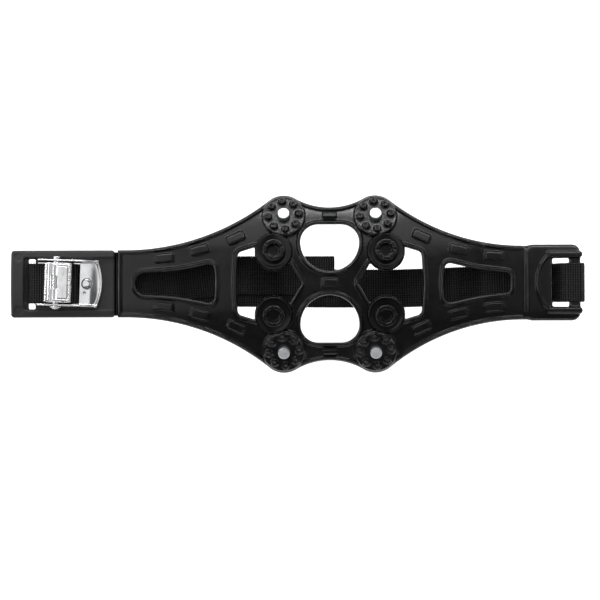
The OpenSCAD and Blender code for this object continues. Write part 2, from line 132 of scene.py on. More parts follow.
def bent(points, radii, n=10):
    """Open route with its inner corners rounded by their own radii."""
    p = np.array(points, float)
    inner = [corner(p[i - 1], p[i], p[i + 1], radii[i - 1], n) for i in range(1, len(p) - 1)]
    return np.concatenate([p[:1], *inner, p[-1:]])


def bevelled(points, r, n=4):
    """Open profile whose inner corners are rounded by r, or by less where a side is short."""
    p = np.array(points, float)
    out = [p[:1]]
    for a, b, c in zip(p, p[1:], p[2:]):
        half = half_angle(a, b, c)
        if half > 1.5:
            out.append([b])
            continue
        short = min(np.linalg.norm(a - b), np.linalg.norm(c - b))
        out.append(corner(a, b, c, min(r, 0.45 * short * math.tan(half)), n))
    return np.concatenate([*out, p[-1:]])


def arc(cx, cy, r, a1, a2, n):
    t = np.radians(np.linspace(a1, a2, n + 1))
    return np.stack([cx + r * np.cos(t), cy + r * np.sin(t)], 1)


def arm_radius(dx, neck):
    """Radius of the arm's arc that is tangent to the neck line and to a lobe."""
    return (dx * dx + (LOBE_Y - neck) ** 2 - LOBE_R ** 2) / (2 * (LOBE_R + LOBE_Y - neck))


def plate_outline():
    x1, x2 = HUB_X - LOBE_X, HUB_X + LOBE_X
    r1, r2 = arm_radius(x1 - TAN1, NECK_Y1), arm_radius(TAN2 - x2, NECK_Y2)
    a1 = math.degrees(math.atan2(LOBE_Y - NECK_Y1 - r1, x1 - TAN1))
    a2 = math.degrees(math.atan2(LOBE_Y - NECK_Y2 - r2, x2 - TAN2))
    v = math.degrees(math.atan2(WAIST_DY, LOBE_X))
    top = np.concatenate([
        [[NECK1, NECK_Y1]],
        arc(TAN1, NECK_Y1 + r1, r1, -90, a1, 30),
        arc(x1, LOBE_Y, LOBE_R, a1 + 180, v, 20),
        arc(HUB_X, LOBE_Y + WAIST_DY, WAIST_R, v - 180, -v, 24),
        arc(x2, LOBE_Y, LOBE_R, 180 - v, a2 + 180, 20),
        arc(TAN2, NECK_Y2 + r2, r2, a2, -90, 30),
        [[NECK2, NECK_Y2]]])
    return np.concatenate([top, top[::-1] * [1, -1]])


# ------------------------------------------------------------------ distances
def poly_sdf(x, y, pts):
    best, inside = np.full(x.shape, 1e9), np.zeros(x.shape, bool)
    for a, b in zip(pts, np.roll(pts, -1, 0)):
        e = b - a
        ee = e @ e
        if ee < 1e-12:
            continue
        wx, wy = x - a[0], y - a[1]
        t = np.clip((wx * e[0] + wy * e[1]) / ee, 0, 1)
        best = np.minimum(best, (wx - e[0] * t) ** 2 + (wy - e[1] * t) ** 2)
        if a[1] != b[1]:
            inside ^= ((a[1] > y) != (b[1] > y)) & (wx < e[0] * (y - a[1]) / e[1])
    return np.where(inside, -1, 1) * np.sqrt(best)


def box_sdf(x, y, x1, x2, y1, y2, r=0.0):
    """Rectangle whose corners are rounded by r."""
    qx = np.abs(x - (x1 + x2) / 2) - (x2 - x1) / 2 + r
    qy = np.abs(y - (y1 + y2) / 2) - (y2 - y1) / 2 + r
    return np.hypot(np.maximum(qx, 0), np.maximum(qy, 0)) + np.minimum(np.maximum(qx, qy), 0) - r


def smax(a, b, k):
    """Larger of two distances, blended over k: an edge rounded off."""
    h = np.maximum(k - np.abs(a - b), 0) / k
    return np.maximum(a, b) + h * h * k / 4


def smin(a, b, k):
    """Smaller of two distances, blended over k: a filleted join."""
    return -smax(-a, -b, k)


def step(a, b, x):
    """Smooth step from 0 at a to 1 at b."""
    t = np.clip((x - a) / (b - a), 0, 1)
    return t * t * (3 - 2 * t)


def dome(depth, r, h):
    """Height of a bump whose edge is rounded over r, by the distance inside its outline."""
    t = np.clip(depth / r, 0, 1)
    return h * np.sqrt(np.clip(1 - (1 - t) ** 2, 0, 1))


def plan_grid(x, y):
    return np.broadcast_arrays(x[:, :, 0], y[:, :, 0])


# ------------------------------------------------------------------ meshes
def mesh_object(name, verts, faces, mat, body):
    """Object from points in mm and from faces given as a list or as an array."""
    me = bpy.data.meshes.new(name)
    verts = np.asarray(verts, np.float32) * 0.001
    if isinstance(faces, list):
        sizes = np.array([len(f) for f in faces])
        loops = np.concatenate([np.asarray(f) for f in faces])
    else:
        sizes = np.full(len(faces), faces.shape[1])
        loops = faces.reshape(-1)
    starts = np.concatenate([[0], np.cumsum(sizes)[:-1]])
    me.vertices.add(len(verts))
    me.vertices.foreach_set("co", verts.ravel())
    me.loops.add(len(loops))
    me.loops.foreach_set("vertex_index", loops.astype(np.int32))
    me.polygons.add(len(sizes))
    me.polygons.foreach_set("loop_start", starts.astype(np.int32))
    me.polygons.foreach_set("loop_total", sizes.astype(np.int32))
    me.polygons.foreach_set("use_smooth", np.full(len(sizes), True))
    me.update(calc_edges=True)
    me.validate()
    me.materials.append(mat)
    ob = bpy.data.objects.new(name, me)
    bpy.context.scene.collection.objects.link(ob)
    if body:
        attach(ob, body)
    return ob


def surface(values, lo, step_mm):
    """Mesh of the zero level of a grid of signed distances."""
    band = 3 * step_mm
    grid = vdb.FloatGrid(band)
    grid.copyFromArray(np.clip(values, -band, band).astype(np.float32))
    pts, tris, quads = grid.convertToPolygons(isovalue=0.0, adaptivity=0.0)
    pts = pts * step_mm + np.array(lo)
    q = np.concatenate([quads[:, :3], tris]) if len(tris) else quads[:, :3]
    a, b, c = pts[q[:, 0]], pts[q[:, 1]], pts[q[:, 2]]
    # a negative volume means that the faces point inwards
    if np.einsum("ij,ij->i", a, np.cross(b, c)).sum() < 0:
        quads, tris = quads[:, ::-1], tris[:, ::-1]
    return pts, tris, quads


def sdf_object(name, f, lo, hi, step_mm, mat, body):
    """Object from a function of grid coordinates that gives signed distances."""
    n = [int(math.ceil((h - l) / step_mm)) + 1 for l, h in zip(lo, hi)]
    x = (lo[0] + np.arange(n[0]) * step_mm)[:, None, None]
    y = (lo[1] + np.arange(n[1]) * step_mm)[None, :, None]
    z = (lo[2] + np.arange(n[2]) * step_mm)[None, None, :]
    pts, tris, quads = surface(f(x, y, z), lo, step_mm)
    faces = quads if not len(tris) else [*quads.tolist(), *tris.tolist()]
    return mesh_object(name, pts, faces, mat, body)


def lathe(name, profile, mat, body, seg=72, at=None):
    """Turned piece from a profile of (r, z)."""
    v, f, rows = [], [], []
    for r, z in profile:
        if r < 1e-6:
            rows.append([len(v)])
            v.append((0, 0, z))
        else:
            rows.append(list(range(len(v), len(v) + seg)))
            for k in range(seg):
                t = 2 * math.pi * k / seg
                v.append((r * math.cos(t), r * math.sin(t), z))
    for a, b in zip(rows, rows[1:]):
        if len(a) == 1 and len(b) == 1:
            continue
        for k in range(seg):
            k2 = (k + 1) % seg
            if len(a) == 1:
                f.append([a[0], b[k2], b[k]])
            elif len(b) == 1:
                f.append([a[k], a[k2], b[0]])
            else:
                f.append([a[k], a[k2], b[k2], b[k]])
    ob = mesh_object(name, v, f, mat, None)
    ob.matrix_world = at
    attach(ob, body)
    return ob


def tube(name, path, r, mat, n=10):
    """Round wire along a path."""
    p = np.array(path, float)
    t = np.gradient(p, axis=0)
    t /= np.linalg.norm(t, axis=1)[:, None]
    across = np.array([0, 1, 0.0])
    nrm = across - t[0] * (across @ t[0])
    v, f = [], []
    for i in range(len(p)):
        nrm = unit(nrm - t[i] * (nrm @ t[i]))
        bi = np.cross(t[i], nrm)
        for k in range(n):
            a = 2 * math.pi * k / n
            v.append(p[i] + r * (math.cos(a) * nrm + math.sin(a) * bi))
    for i in range(len(p) - 1):
        for k in range(n):
            a, b = i * n + k, i * n + (k + 1) % n
            f.append([a, a + n, b + n, b])
    f.append(list(range(n)))
    f.append([(len(p) - 1) * n + k for k in range(n)][::-1])
    return mesh_object(name, v, f, mat, None)


# ------------------------------------------------------------------ materials
def material(name, color, rough, metallic=0.0, spec=0.5):
    m = bpy.data.materials.new(name)
    m.use_nodes = True
    nt = m.node_tree
    b = nt.nodes["Principled BSDF"]
    b.inputs["Base Color"].default_value = (*color, 1)
    b.inputs["Roughness"].default_value = rough
    b.inputs["Metallic"].default_value = metallic
    b.inputs["Specular IOR Level"].default_value = spec
    return m, nt, b


def noise(nt, scale, detail=4.0, rough=0.6, stretch=None):
    out = nt.nodes.new("ShaderNodeTexCoord").outputs["Object"]
    if stretch:
        mp = nt.nodes.new("ShaderNodeMapping")
        mp.inputs["Scale"].default_value = stretch
        nt.links.new(out, mp.inputs["Vector"])
        out = mp.outputs["Vector"]
    n = nt.nodes.new("ShaderNodeTexNoise")
    n.inputs["Scale"].default_value = scale
    n.inputs["Detail"].default_value = detail
    n.inputs["Roughness"].default_value = rough
    nt.links.new(out, n.inputs["Vector"])
    return n.outputs["Fac"]


def ramp(nt, src, p1, c1, p2, c2):
    """Colour that goes from c1 at p1 to c2 at p2."""
    r = nt.nodes.new("ShaderNodeValToRGB")
    for el, p, c in zip(r.color_ramp.elements, (p1, p2), (c1, c2)):
        el.position = p
        el.color = (*c, 1)
    nt.links.new(src, r.inputs["Fac"])
    return r.outputs["Color"]


def remap(nt, src, lo, hi):
    """Spreads the middle of a noise over lo to hi."""
    r = nt.nodes.new("ShaderNodeMapRange")
    r.inputs["From Min"].default_value = 0.3
    r.inputs["From Max"].default_value = 0.7
    r.inputs["To Min"].default_value = lo
    r.inputs["To Max"].default_value = hi
    nt.links.new(src, r.inputs["Value"])
    return r.outputs["Result"]


def bump(nt, height, strength, dist, normal=None):
    b = nt.nodes.new("ShaderNodeBump")
    b.inputs["Strength"].default_value = strength
    b.inputs["Distance"].default_value = dist
    nt.links.new(height, b.inputs["Height"])
    if normal:
        nt.links.new(normal, b.inputs["Normal"])
    return b.outputs["Normal"]


def rubber(name, dark, light, rough, spec, grain=0.06):
    """Moulded rubber or plastic with cloudy gloss and a fine grain."""
    m, nt, b = material(name, dark, rough, 0.0, spec)
    big = noise(nt, 45, 3)
    fine = noise(nt, 900, 3, 0.7)
    cloud = noise(nt, 160, 5, 0.65)
    nt.links.new(ramp(nt, cloud, 0.35, dark, 0.7, light), b.inputs["Base Color"])
    mix = nt.nodes.new("ShaderNodeMath")
    mix.operation = "ADD"
    nt.links.new(remap(nt, big, rough - 0.05, rough + 0.06), mix.inputs[0])
    nt.links.new(remap(nt, cloud, -0.03, 0.04), mix.inputs[1])
    nt.links.new(mix.outputs[0], b.inputs["Roughness"])
    nrm = bump(nt, fine, grain, 0.0002)
    nt.links.new(bump(nt, cloud, 0.10, 0.0003, nrm), b.inputs["Normal"])
    return m


def metal(name, dark, light, rough, scratch=0.15, stretch=(1, 1, 1), scale=400):
    """Metal with brushed gloss and faint clouds."""
    m, nt, b = material(name, light, rough, 1.0)
    brushed = noise(nt, scale, 4, 0.7, stretch)
    cloud = noise(nt, 120, 4)
    nt.links.new(ramp(nt, cloud, 0.3, dark, 0.65, light), b.inputs["Base Color"])
    nt.links.new(remap(nt, brushed, rough - 0.06, rough + 0.08), b.inputs["Roughness"])
    nt.links.new(bump(nt, brushed, scratch, 0.0001), b.inputs["Normal"])
    return m


def webbing_material():
    """Black yarn with painted shade that darkens the grooves between its crests, which are also duller.
    """
    m, nt, b = material("webbing", (0.006, 0.006, 0.0063), 0.6, 0.0, 0.3)
    fibre = noise(nt, 1500, 3, 0.7, (0.25, 1, 1))
    cloud = noise(nt, 90, 4)
    attribute = nt.nodes.new("ShaderNodeAttribute")
    attribute.attribute_name = "yarn"
    yarn = attribute.outputs["Fac"]
    mul = nt.nodes.new("ShaderNodeMixRGB")
    mul.blend_type = "MULTIPLY"
    mul.inputs["Fac"].default_value = 1.0
    # painted shade: the base colour goes dark in the grooves and lighter on the crests, following the rib
    # height
    painted_groove_shade = ramp(nt, yarn, 0.15, (0.0008, 0.0008, 0.0008), 0.8, (0.015, 0.015, 0.0156))
    nt.links.new(painted_groove_shade, mul.inputs["Color1"])
    nt.links.new(ramp(nt, cloud, 0.3, (0.6, 0.6, 0.6), 0.7, (1, 1, 1)), mul.inputs["Color2"])
    nt.links.new(mul.outputs["Color"], b.inputs["Base Color"])
    shine = ramp(nt, yarn, 0.25, (0.02, 0.02, 0.02), 0.85, (0.34, 0.34, 0.34))
    nt.links.new(shine, b.inputs["Specular IOR Level"])
    nt.links.new(remap(nt, fibre, 0.42, 0.62), b.inputs["Roughness"])
    nt.links.new(bump(nt, fibre, 0.4, 0.00025), b.inputs["Normal"])
    b.inputs["Sheen Weight"].default_value = 0.03
    b.inputs["Sheen Roughness"].default_value = 0.4
    return m


M = {
    "sole": rubber("sole_rubber", (0.003, 0.003, 0.0032), (0.0055, 0.0055, 0.0058), 0.19, 0.42),
    "panel": rubber("panel_rubber", (0.013, 0.013, 0.0136), (0.018, 0.018, 0.019), 0.42, 0.47, 0.12),
    "washer": rubber("washer_black", (0.003, 0.003, 0.0032), (0.005, 0.005, 0.0053), 0.2, 0.32, 0.03),
    "crown": rubber("crown_black", (0.003, 0.003, 0.0033), (0.005, 0.005, 0.0054), 0.15, 0.4, 0.03),
    "pin": metal("pin_steel", (0.55, 0.56, 0.57), (0.72, 0.73, 0.74), 0.42, 0.12, scale=600),
    "chrome": metal("buckle_plating", (0.66, 0.66, 0.67), (0.78, 0.78, 0.79), 0.15, 0.05,
                    (1, 0.12, 1), 700),
    "lever": metal("lever_plating", (0.62, 0.62, 0.63), (0.80, 0.80, 0.81), 0.22, 0.10, scale=300),
    "zinc": metal("pin_plating", (0.60, 0.60, 0.61), (0.75, 0.75, 0.76), 0.28, 0.1, (1, 0.1, 1), 500),
    "spring": metal("spring_steel", (0.35, 0.35, 0.36), (0.5, 0.5, 0.51), 0.3, 0.1),
    "web": webbing_material(),
    "thread": rubber("thread", (0.012, 0.012, 0.013), (0.02, 0.02, 0.021), 0.6, 0.3, 0.3),
}

# ------------------------------------------------------------------ sole plate
HUB_W, HUB_Y1, HUB_Y2 = 14.8, 6.1, 29.9
HOLES = [
    rounded([(HUB_X - HUB_W, HUB_Y1), (HUB_X + HUB_W, HUB_Y1),
             (HUB_X + HUB_W, HUB_Y2), (HUB_X - HUB_W, HUB_Y2)], [14.75, 14.75, 9, 9], 16),
    rounded([(HUB_X - HUB_W, -HUB_Y2), (HUB_X + HUB_W, -HUB_Y2),
             (HUB_X + HUB_W, -HUB_Y1), (HUB_X - HUB_W, -HUB_Y1)], [9, 9, 14.75, 14.75], 16),
    rounded([(-81.8, -5.2), (-62, -6.1), (-42.9, -10.2), (-42, 0),
             (-42.9, 10.2), (-62, 6.1), (-81.8, 5.2)], [4.9, 100, 2.6, 40, 2.6, 100, 4.9]),
    rounded([(106.6, -4.8), (106.6, 4.8), (91, 6.6), (74.4, 10.5),
             (73.2, 0), (74.4, -10.5), (91, -6.6)], [2, 2, 100, 2.6, 40, 2.6, 100]),
]
GAPS = [
    rounded([(-31.2, 0), (-30.4, -15.6), (-20, -18.8), (-4.4, -10),
             (1.6, 0), (-4.4, 10), (-20, 18.8), (-30.4, 15.6)], [60, 2.6, 4, 3, 2, 3, 4, 2.6]),
    rounded([(63, 0), (62.2, 15.6), (52, 18.8), (36.4, 10),
             (30.4, 0), (36.4, -10), (52, -18.8), (62.2, -15.6)], [60, 2.6, 4, 3, 2, 3, 4, 2.6]),
]
# places and turns of the bar lugs on the upper arms
LUGS = [(-67.5, 12.4, 5), (-49.8, 16.4, 15), (-31.4, 22.6, 25),
        (62.4, 23.2, -25), (81, 16.2, -14), (98.8, 12.9, -5)]
CROWNS = [(HUB_X + sx * CROWN_X, sy * CROWN_Y) for sy in (1, -1) for sx in (-1, 1)]
PADS = [(HUB_X + sx * LOBE_X, sy * LOBE_Y) for sy in (1, -1) for sx in (-1, 1)]


def lug_rise(gx, gy, cx, cy, turn, l, w):
    c, s = math.cos(math.radians(turn)), math.sin(math.radians(turn))
    u, v = (gx - cx) * c + (gy - cy) * s, -(gx - cx) * s + (gy - cy) * c
    return dome(-box_sdf(u, v, -l / 2, l / 2, -w / 2, w / 2, 1.0), 0.7, LUG_H)


def plate_rise(gx, gy, plan, lands):
    """Height above the arch: beads along the edges, then lugs, and a recess at each washer."""
    h = BEAD_H * (1 - step(1.5, 2.3, -plan))
    h = np.where(gx > 112, h * (1 - step(112, 114, gx)), h)
    for sy in (1, -1):
        for cx, cy, turn in LUGS:
            rise = lug_rise(gx, gy, cx, sy * cy + LUG_SHIFT, sy * turn, LUG_L, LUG_W)
            h = np.maximum(h, rise)
        h = np.maximum(h, lug_rise(gx, gy, HUB_X, sy * 34.8, 0, 7.4, 3.0))
    h = np.maximum(h, lug_rise(gx, gy, HUB_X, 0, 0, 8.0, 4.4))
    return np.where(lands < SEAT_R + 0.04, SEAT - ARCH_R, h)


def with_end_block(body, x, y, z, rho):
    """Adds the slotted end block, its round guard, its two rails and its bar."""
    gx, gy = plan_grid(x, y)
    plan = smax(box_sdf(gx, gy, BLOCK_X1, BLOCK_X2, -BLOCK_Y, BLOCK_Y, 4.2),
                -box_sdf(gx, gy, SLOT_X1, 160, -SLOT_Y, SLOT_Y, 0.8), 0.6)
    left = gx < SLOT_X1
    guard = np.hypot(gx - GUARD_X, gy)
    pocket = smax(guard - GUARD_R, np.abs(gy) - 14, 1.0)
    h = np.full(gx.shape, BLOCK_LIFT)
    h = np.where(left, h - 1.5 * (1 - step(-1.0, 0.2, pocket)), h)
    ring = smax(np.abs(guard - GUARD_R - 0.95) - 0.9, np.abs(gy) - 15.6, 0.6)
    ring = np.maximum(ring, gx - SLOT_X1 + 0.3)
    h = np.maximum(h, BLOCK_LIFT + dome(-ring, 0.9, 1.5) - 0.001)
    shoulder = 0.5 * (1 - step(0.0, 3.5, np.abs(guard - GUARD_R - 3.25)))
    h = h - np.where(left, shoulder, 0)
    rail = np.minimum(box_sdf(gx, gy, 125.5, 143.3, 12.6, 15.8, 1.4),
                      box_sdf(gx, gy, 125.5, 143.3, -15.8, -12.6, 1.4))
    h = np.maximum(h, BLOCK_LIFT + dome(-rail, 1.3, 1.5) - 0.001)
    block = smax(smax(rho - ARCH_R - h[:, :, None], plan[:, :, None], 1.8), BLOCK_Z - z, 1.2)
    body = smin(body, block, 0.8)
    rails = smax(smax(rail[:, :, None] + 0 * z, rho - ARCH_R - 2.2, 1.2), BLOCK_Z + 0.4 - z, 1.0)
    body = smin(body, rails, 0.5)
    qx, qz = np.abs(x - BAR_X) - 1.5, np.abs(z - BAR_Z) - 0.25
    bar = np.hypot(np.maximum(qx, 0), np.maximum(qz, 0)) + np.minimum(np.maximum(qx, qz), 0) - 1.4
    return smin(body, np.maximum(bar, np.abs(y) - 13.0), 0.8)


def stud_window(x, y, z, cx, cy, reach_x, reach_y):
    """Stretch of the grid round a stud, with coordinates u, v across its axis and w along it."""
    i = slice(*np.searchsorted(x[:, 0, 0], [cx - reach_x, cx + reach_x]))
    j = slice(*np.searchsorted(y[0, :, 0], [cy - reach_y, cy + reach_y]))
    a = math.asin(cy / ARCH_R)
    v = y[:, j] * math.cos(a) - (z - ARCH_Z) * math.sin(a)
    w = y[:, j] * math.sin(a) + (z - ARCH_Z) * math.cos(a)
    return i, j, x[i] - cx, v, w


def add_pad(body, x, y, z, cx, cy):
    """Round pad with a raised rim, eight dimpled nubs, and the pin's hole and counterbore."""
    i, j, u, v, w = stud_window(x, y, z, cx, cy, 13, 14)
    q = np.hypot(u, v)
    lobe = np.hypot(x[i] - cx, y[:, j] - cy * 1.001) - LOBE_R
    rim = 0.28 * np.exp(-((q - 10.3) / 0.35) ** 2)
    disc = smax(smax(q - 11.0, w - PAD_TOP - rim, 0.7), ARCH_R - 2 - w, 0.3)
    sub = smin(body[i, j], smax(disc, lobe, 0.9), 0.35)
    for k in range(8):
        t = math.radians(45 * k + 6)
        r = np.hypot(u - NUB_RING * math.cos(t), v - NUB_RING * math.sin(t))
        nub = smax(r - 2.05 + 0.30 * (w - PAD_TOP), w - PAD_TOP - NUB_H, 0.45)
        pit = np.sqrt(r * r + (w - PAD_TOP - NUB_H - 0.45) ** 2) - 1.15
        sub = smin(sub, np.maximum(smax(nub, -pit, 0.3), ARCH_R - w), 0.45)
    sub = smax(sub, 3.08 - q, 0.25)
    body[i, j] = smax(sub, -np.maximum(q - 5.55, w - UNDER_R - 1.4), 0.3)


def add_crown_seat(body, x, y, z, cx, cy):
    """Round seat for a washer, with the hole and counterbore of the stud through it."""
    i, j, u, v, w = stud_window(x, y, z, cx, cy, 12, 12)
    q = np.hypot(u, v)
    sub = smax(body[i, j], -np.maximum(q - SEAT_R, SEAT - w), 0.3)
    sub = smax(sub, -np.maximum(q - 6.05, w - UNDER_R - 1.0), 0.3)
    body[i, j] = smax(sub, 3.45 - q, 0.3)


def sole_sdf(x, y, z):
    gx, gy = plan_grid(x, y)
    plan = poly_sdf(gx, gy, plate_outline())
    for p in HOLES:
        plan = smax(plan, -poly_sdf(gx, gy, p), 0.3)
    lands = np.min([np.hypot(gx - cx, gy - cy) for cx, cy in CROWNS], 0)
    for p in GAPS:
        plan = smax(plan, -smax(poly_sdf(gx, gy, p), LAND_R - lands, 0.8), 0.3)
    h = plate_rise(gx, gy, plan, lands)
    rho = np.sqrt(y * y + (z - ARCH_Z) ** 2)
    body = smax(smax(rho - ARCH_R - h[:, :, None], plan[:, :, None], 1.7), UNDER_R - rho, 1.0)
    body = with_end_block(body, x, y, z, rho)
    for cx, cy in PADS:
        add_pad(body, x, y, z, cx, cy)
    for cx, cy in CROWNS:
        add_crown_seat(body, x, y, z, cx, cy)
    return body


sole = sdf_object("sole_rubber_body", sole_sdf, (NECK1 - 0.6, -45.6, -0.8), (145.0, 45.6, 20.0),
                  0.4, M["sole"], "sole")
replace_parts(sole, "sole_plate")


# ------------------------------------------------------------------ buckle panel
def panel_sdf(x, y, z):
    gx, gy = plan_grid(x, y)
    slits = np.minimum(box_sdf(gx, gy, *SLIT_IN, -12.7, 12.6, 0.6),
                       box_sdf(gx, gy, *SLIT_OUT, -10.8, 10.9, 0.6))
    plan = smax(box_sdf(gx, gy, PANEL_X1, PANEL_X2, -PANEL_Y, PANEL_Y, 1.6), -slits, 0.5)
    top = np.sqrt(y * y + (z - ARCH_Z) ** 2) - ARCH_R - BEAD_H
    # round ejector marks near the far corners
    for sy in (1, -1):
        mark = np.hypot(gx + 140.9, gy - sy * 13.6)
        dent = 0.22 * (1 - step(1.7, 2.1, mark)) + 0.12 * np.exp(-((mark - 2.2) / 0.35) ** 2)
        top = top + dent[:, :, None]
    body = smax(smax(top, plan[:, :, None], 1.3), PANEL_Z - z, 1.0)
    # recess for the buckle, with a sloping ledge at its far end
    recess = box_sdf(gx, gy, FLOOR_X1, -80, -FLOOR_Y, FLOOR_Y, 0.8)
    ledge = FLOOR_Z + 0.9 * (1 - step(FLOOR_X1 - 0.1, FLOOR_X1 + 1.7, gx))
    body = smax(body, -np.maximum(recess[:, :, None], ledge[:, :, None] - z), 0.7)
    # rivet hole and counterbore
    q = np.hypot(x - RIVET_X, y)
    body = smax(body, 1.55 - q, 0.2)
    return smax(body, -np.maximum(q - 3.5, z - PANEL_Z - 0.9), 0.3)


panel = sdf_object("panel_rubber_body", panel_sdf, (-145.6, -17.8, 10.0), (-92.0, 17.8, 18.0), 0.3,
                   M["panel"], "panel")
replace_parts(panel, "buckle_panel")


def hinge_skin():
    """Thin moulded web across the groove, its top sagging between its ends."""
    xs, ys = np.linspace(-93.0, -90.8, 12), np.linspace(-16.1, 16.1, 60)
    middle, half_t, hinge_x = 11.45, 0.6, -91.9
    v, f = [], []
    for side in (1, -1):
        for xx in xs:
            dip = 0.6 * math.cos((xx - hinge_x) / 1.1 * math.pi / 2) if side > 0 else 0
            for yy in ys:
                v.append((xx, yy, middle + side * half_t - dip + 0.02 * math.sin(yy * 3)))
    n, m = len(xs), len(ys)
    for s in (0, 1):
        for i in range(n - 1):
            for j in range(m - 1):
                a = s * n * m + i * m + j
                q = [a, a + m, a + m + 1, a + 1]
                f.append(q if s == 0 else q[::-1])
    for j in range(m - 1):
        f.append([j, j + 1, n * m + j + 1, n * m + j])
        a = (n - 1) * m + j
        f.append([a + 1, a, n * m + a, n * m + a + 1])
    for i in range(n - 1):
        a, b = i * m, i * m + m - 1
        f.append([a + m, a, n * m + a, n * m + a + m])
        f.append([b, b + m, n * m + b + m, n * m + b])
    return mesh_object("hinge_skin", v, f, M["washer"], None)


skin = hinge_skin()
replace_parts(skin, "hinge_web")
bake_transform(skin)


# ------------------------------------------------------------------ studs
def arch_matrix(cx, cy):
    a = math.asin(cy / ARCH_R)
    return Matrix.Translation((cx / 1000, 0, ARCH_Z / 1000)) @ Matrix.Rotation(-a, 4, "X")


for i, (cx, cy) in enumerate(PADS, 1):
    foot, tip = UNDER_R + 0.2, PAD_TOP + 3.0
    profile = bevelled([(0, foot), (5.5, foot), (5.5, foot + 1.15), (2.97, foot + 1.2), (2.97, tip),
                        (2.2, tip), (1.1, tip - 0.06), (0, tip - 0.08)], 0.28)
    pin = lathe(f"steel_pin_{i}", profile, M["pin"], "sole", at=arch_matrix(cx, cy))
    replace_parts(pin, f"steel_stud_{i}")

for i, (cx, cy) in enumerate(CROWNS, 1):
    profile = bevelled([(r, SEAT + h) for r, h in (
        (3.5, 0.02), (8.6, 0.02), (9.24, 0.7), (9.24, 1.7), (8.95, 2.05), (8.4, 2.02),
        (7.6, 1.78), (6.3, 1.66), (3.5, 1.6))], 0.6)
    w = lathe(f"dished_washer_{i}", profile, M["washer"], "sole", at=arch_matrix(cx, cy))
    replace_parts(w, f"crown_washer_{i}")


def crown_sdf(x, y, z):
    """Castellated collar with a deep well, above its shank and flange; z is from the arch's axis."""
    q = np.hypot(x, y)
    foot = SEAT + 1.6
    top = foot + 4.2
    collar = smax(q - 5.95 + 0.12 * (z - foot), np.maximum(z - top, foot + 0.02 - z), 0.7)
    well = smax(q - 3.25 - 0.10 * (z - top), top - 3.4 - z, 0.3)
    lip = smax(q - 3.7 - 0.9 * (z - top), top - 1.0 - z, 0.2)
    sixth = (np.arctan2(y, x) / (math.pi / 3) + 0.25) % 1.0
    notch = smax(np.abs(sixth - 0.5) * q * 1.05 - 0.42, top - 0.8 - z, 0.3)
    c = smax(smax(smax(collar, -well, 0.4), -lip, 0.3), -notch, 0.35)
    shank = np.maximum(q - 3.35, np.maximum(z - foot - 0.3, UNDER_R + 0.5 - z))
    flange = smax(q - 5.95, np.abs(z - UNDER_R - 0.55) - 0.43, 0.4)
    return np.minimum(np.minimum(c, shank), flange)


first_crown = sdf_object("crown_stud_body_1", crown_sdf, (-6.6, -6.6, UNDER_R - 0.4),
                         (6.6, 6.6, SEAT + 6.4), 0.2, M["crown"], "sole")
for i, ((cx, cy), turn) in enumerate(zip(CROWNS, (8, -14, 21, 3)), 1):
    ob = first_crown
    if i > 1:
        ob = bpy.data.objects.new(f"crown_stud_body_{i}", first_crown.data)
        bpy.context.scene.collection.objects.link(ob)
    ob.matrix_world = arch_matrix(cx, cy) @ Matrix.Rotation(math.radians(turn), 4, "Z")
    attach(ob, "sole")
    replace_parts(ob, f"crown_stud_{i}")

# ------------------------------------------------------------------ buckle
# the buckle sits a little askew on its one rivet
RIVET = Matrix.Translation((RIVET_X / 1000, 0, 0))
ASKEW = RIVET @ Matrix.Rotation(math.radians(-1.8), 4, "Z") @ RIVET.inverted()


def base_sdf(x, y, z):
    gx, gy = plan_grid(x, y)
    nose = np.hypot(gx - NOSE_X, gy) - NOSE_R
    plan = smax(box_sdf(gx, gy, BASE_X1, -90, -WALL_Y, WALL_Y, 0.4), nose, 1.5)
    slot = box_sdf(gx, gy, *BASE_SLOT, -10.3, 10.3, 0.5)
    # the sheet falls away a little ahead of the rolled lip
    dip = 0.34 * step(-105.6, -100.4, gx) * (1 - 0.04 * gy)
    sheet = smax(np.maximum(plan, -slot)[:, :, None],
                 np.maximum(z - FLOOR_Z - SHEET + dip[:, :, None], FLOOR_Z - z), 0.25)
    # side walls that drop towards the nose
    top = FLOOR_Z + WALL_H - 5.4 * step(-109.8, -100.3, gx) - 2.0 * step(-129.7, BASE_X1, gx) ** 2
    wall = np.abs(np.abs(gy) - (WALL_Y - WALL_T / 2)) - WALL_T / 2
    wall = smax(wall, np.maximum(gx + 100.9, BASE_X1 - gx), 0.6)
    walls = smax(wall[:, :, None], np.maximum(z - top[:, :, None], FLOOR_Z - z), 0.5)
    # lip that rises round the nose
    lip = smax(np.abs(nose + 0.45) - 0.45, np.maximum(np.abs(gy) - WALL_Y + 0.1, -105.3 - gx), 0.5)
    lip = smax(lip[:, :, None], np.maximum(z - FLOOR_Z - 2.6, FLOOR_Z - z), 0.6)
    b = smin(smin(sheet, walls, 0.8), lip, 1.1)
    # holes for the cross pin and the rivet, and a small round dent beside the rivet
    b = smax(b, 1.62 - np.hypot(x - CAM_X, z - CAM_Z), 0.15)
    dent = np.sqrt((x + 107.5) ** 2 + (y + 4.6) ** 2 + (z - 15.7) ** 2) - 0.95
    b = smax(b, -dent, 0.2)
    return smax(b, 1.5 - np.hypot(x - RIVET_X, y), 0.1)


base = sdf_object("buckle_pan", base_sdf, (-132.2, -12.4, 13.2), (-98.0, 12.4, 22.6), 0.16,
                  M["chrome"], None)
base.matrix_world = ASKEW
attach(base, "panel")
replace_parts(base, "buckle_base")


